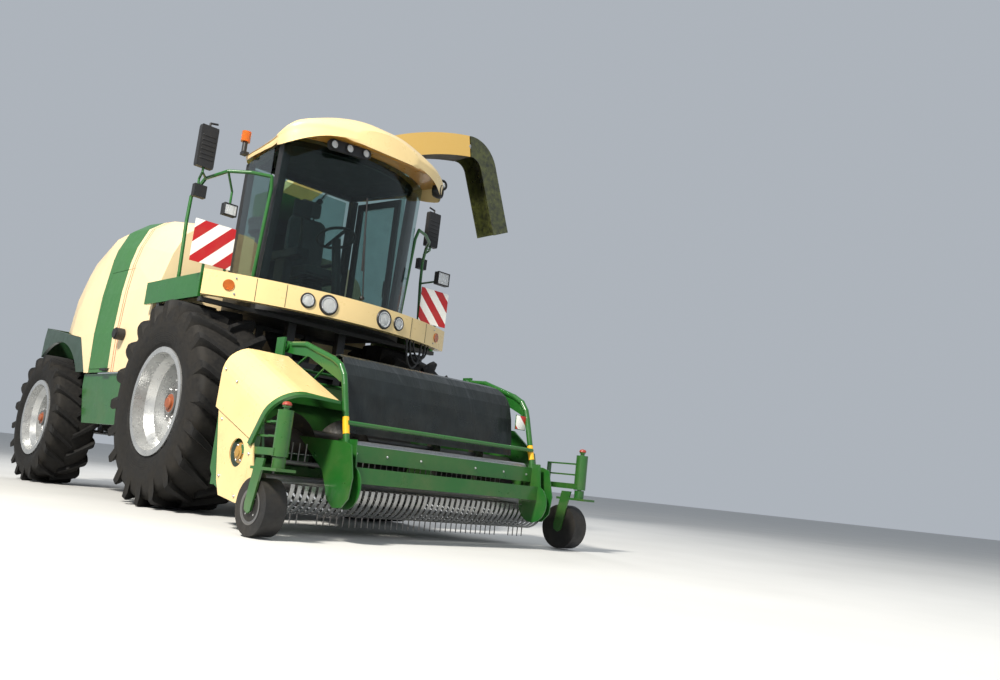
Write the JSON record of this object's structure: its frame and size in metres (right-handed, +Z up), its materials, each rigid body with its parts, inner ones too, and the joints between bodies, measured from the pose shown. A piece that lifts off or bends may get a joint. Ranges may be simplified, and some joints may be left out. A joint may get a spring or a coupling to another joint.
{
  "type": "forage harvester",
  "caption": "Self-propelled forage harvester with a pickup header, a glazed cab, lugged tyres, rear-wheel steering and a swinging discharge spout.",
  "frame": {"origin": "centre of the bounding box at ground level, under the tyres", "axes": "+X forward, +Y to the machine's left, +Z up"},
  "size_m": [6.565, 5.2747, 5.2003],
  "materials": {
    "amber": "gloss",
    "black_plastic": "satin",
    "cream_paint": "gloss",
    "dark_green_paint": "gloss",
    "dark_grey_paint": "satin",
    "glass": "gloss",
    "green_paint": "gloss",
    "lamp_clear": "gloss",
    "rubber": "matte",
    "seat_fabric": "matte",
    "signal_red": "satin",
    "silver_paint": "satin",
    "steel": "satin"
  },
  "bodies": {
    "chassis": {"frame": "green_paint", "front_axle": "dark_grey_paint", "rear_axle": "green_paint", "chopping_unit": "dark_grey_paint", "crop_chute": "dark_grey_paint", "engine_block": "dark_grey_paint", "engine_hood": "cream_paint", "rear_grille": "black_plastic", "rear_box": "dark_green_paint", "lower_side_panels": "green_paint", "platform_deck": "green_paint", "ladder": "green_paint", "cab_body": "black_plastic", "cab_roof": "cream_paint", "windscreen": "glass", "cab_glass": "glass", "seat": "seat_fabric", "steering_column": "black_plastic", "front_fascia": "cream_paint", "headlamps": "lamp_clear", "marker_lamps": "amber", "mirrors": "black_plastic", "handrails": "green_paint", "warning_panels": "signal_red", "spout_ring": "green_paint"},
    "side_door_left": {"side_door_left": "cream_paint"},
    "side_door_right": {"side_door_right": "cream_paint"},
    "cab_door": {"cab_door": "black_plastic", "door_glass": "glass"},
    "spout_turret": {"spout_base": "green_paint"},
    "spout_arm": {"spout_arm": "cream_paint"},
    "spout_flap": {"spout_flap": "cream_paint"},
    "spout_barrel": {"spout_barrel": "black_plastic"},
    "spout_rod": {"spout_rod": "steel"},
    "header": {"feeder_housing": "dark_green_paint", "header_frame": "green_paint", "side_shields": "cream_paint", "stripper_bands": "silver_paint"},
    "auger": {"auger": "dark_grey_paint"},
    "pickup_reel": {"pickup_reel": "steel"},
    "crop_guard": {"crop_guard": "green_paint", "guard_apron": "black_plastic"},
    "press_roller": {"press_roller": "dark_green_paint"},
    "caster_left": {"caster_left": "green_paint"},
    "caster_right": {"caster_right": "green_paint"},
    "gauge_wheel_left": {"gauge_wheel_left": "rubber"},
    "gauge_wheel_right": {"gauge_wheel_right": "rubber"},
    "lift_barrels": {"lift_barrels": "black_plastic"},
    "lift_rods": {"lift_rods": "steel"},
    "knuckle_left": {"knuckle_left": "dark_grey_paint"},
    "knuckle_right": {"knuckle_right": "dark_grey_paint"},
    "steering_rod": {"steering_rod": "steel"},
    "front_wheel_left": {"front_tyre_left": "rubber", "front_rim_left": "silver_paint"},
    "front_wheel_right": {"front_tyre_right": "rubber", "front_rim_right": "silver_paint"},
    "rear_wheel_left": {"rear_tyre_left": "rubber", "rear_rim_left": "silver_paint"},
    "rear_wheel_right": {"rear_tyre_right": "rubber", "rear_rim_right": "silver_paint"}
  },
  "joints": [
    {"name": "header_lift", "type": "hinge", "parent": "chassis", "child": "header", "pos_m": [0.988, -0.922, 1.24], "axis": [0, -1, 0], "range_deg": [0, 25]},
    {"name": "lift_barrel_tilt", "type": "hinge", "parent": "chassis", "child": "lift_barrels", "pos_m": [0.833, -0.922, 0.7], "axis": [0, -1, 0], "range_deg": [-1, 22]},
    {"name": "lift_rod_slide", "type": "slide", "parent": "lift_barrels", "child": "lift_rods", "axis": [0.9928, 0, -0.1198], "range_m": [-0.005, 0.235]},
    {"name": "auger_turn", "type": "hinge", "parent": "header", "child": "auger", "pos_m": [2.268, -0.922, 0.7], "axis": [0, 1, 0], "continuous": true},
    {"name": "pickup_reel_turn", "type": "hinge", "parent": "header", "child": "pickup_reel", "pos_m": [2.718, -0.922, 0.38], "axis": [0, 1, 0], "continuous": true},
    {"name": "crop_guard_lift", "type": "hinge", "parent": "header", "child": "crop_guard", "pos_m": [2.048, -0.922, 1.48], "axis": [0, -1, 0], "range_deg": [0, 35]},
    {"name": "press_roller_turn", "type": "hinge", "parent": "crop_guard", "child": "press_roller", "pos_m": [2.958, -0.922, 0.69], "axis": [0, 1, 0], "continuous": true},
    {"name": "caster_left_swivel", "type": "hinge", "parent": "header", "child": "caster_left", "pos_m": [3.133, 0.688, 0.6], "axis": [0, 0, 1], "range_deg": [-15, 15]},
    {"name": "gauge_wheel_left_turn", "type": "hinge", "parent": "caster_left", "child": "gauge_wheel_left", "pos_m": [2.988, 0.688, 0.208], "axis": [0, 1, 0], "continuous": true},
    {"name": "caster_right_swivel", "type": "hinge", "parent": "header", "child": "caster_right", "pos_m": [3.133, -2.532, 0.6], "axis": [0, 0, 1], "range_deg": [-15, 15]},
    {"name": "gauge_wheel_right_turn", "type": "hinge", "parent": "caster_right", "child": "gauge_wheel_right", "pos_m": [2.988, -2.532, 0.208], "axis": [0, 1, 0], "continuous": true},
    {"name": "steer_left", "type": "hinge", "parent": "chassis", "child": "knuckle_left", "pos_m": [-2.542, -0.122, 0.73], "axis": [0, 0, 1], "range_deg": [-45, 45]},
    {"name": "steer_right", "type": "hinge", "parent": "chassis", "child": "knuckle_right", "pos_m": [-2.542, -1.722, 0.73], "axis": [0, 0, 1], "range_deg": [-45, 45]},
    {"name": "steering_rod_slide", "type": "slide", "parent": "chassis", "child": "steering_rod", "axis": [0, 1, 0], "range_m": [-0.16, 0.16]},
    {"name": "front_wheel_left_turn", "type": "hinge", "parent": "chassis", "child": "front_wheel_left", "pos_m": [0.628, 0.213, 0.945], "axis": [0, 1, 0], "continuous": true},
    {"name": "rear_wheel_left_turn", "type": "hinge", "parent": "knuckle_left", "child": "rear_wheel_left", "pos_m": [-2.542, 0.288, 0.73], "axis": [0, 1, 0], "continuous": true},
    {"name": "front_wheel_right_turn", "type": "hinge", "parent": "chassis", "child": "front_wheel_right", "pos_m": [0.628, -2.057, 0.945], "axis": [0, 1, 0], "continuous": true},
    {"name": "rear_wheel_right_turn", "type": "hinge", "parent": "knuckle_right", "child": "rear_wheel_right", "pos_m": [-2.542, -2.132, 0.73], "axis": [0, 1, 0], "continuous": true},
    {"name": "spout_slew", "type": "hinge", "parent": "chassis", "child": "spout_turret", "pos_m": [-0.372, -0.922, 3.18], "axis": [0, 0, 1], "range_deg": [-15, 195]},
    {"name": "spout_lift", "type": "hinge", "parent": "spout_turret", "child": "spout_arm", "pos_m": [-0.372, -0.862, 3.42], "axis": [1, 0, 0], "range_deg": [-25, 6]},
    {"name": "spout_barrel_tilt", "type": "hinge", "parent": "spout_turret", "child": "spout_barrel", "pos_m": [-0.372, -0.582, 3.3], "axis": [1, 0, 0], "range_deg": [-32, 9]},
    {"name": "spout_rod_slide", "type": "slide", "parent": "spout_barrel", "child": "spout_rod", "axis": [0, 0.5684, 0.8227], "range_m": [-0.125, 0.04]},
    {"name": "spout_flap_tilt", "type": "hinge", "parent": "spout_arm", "child": "spout_flap", "pos_m": [-0.372, 1.71648, 5.18785], "axis": [1, 0, 0], "range_deg": [0, 60]},
    {"name": "cab_door_swing", "type": "hinge", "parent": "chassis", "child": "cab_door", "pos_m": [0.2, -0.185, 2.6], "axis": [0, 0, 1], "range_deg": [0, 85]},
    {"name": "side_door_left_lift", "type": "hinge", "parent": "chassis", "child": "side_door_left", "pos_m": [0.628, 0.334, 2.384], "axis": [1, 0, 0], "range_deg": [0, 75]},
    {"name": "side_door_right_lift", "type": "hinge", "parent": "chassis", "child": "side_door_right", "pos_m": [0.628, -2.178, 2.384], "axis": [-1, 0, 0], "range_deg": [0, 75]}
  ],
  "couplings": [
    {"joint": "lift_barrel_tilt", "follows": "header_lift", "ratio": 0.826},
    {"joint": "lift_rod_slide", "follows": "header_lift", "m_per_rad": 0.526},
    {"joint": "steer_right", "follows": "steer_left", "ratio": 1},
    {"joint": "steering_rod_slide", "follows": "steer_left", "m_per_rad": -0.1981},
    {"joint": "spout_barrel_tilt", "follows": "spout_lift", "ratio": 1.2},
    {"joint": "spout_rod_slide", "follows": "spout_lift", "m_per_rad": 0.27}
  ]
}
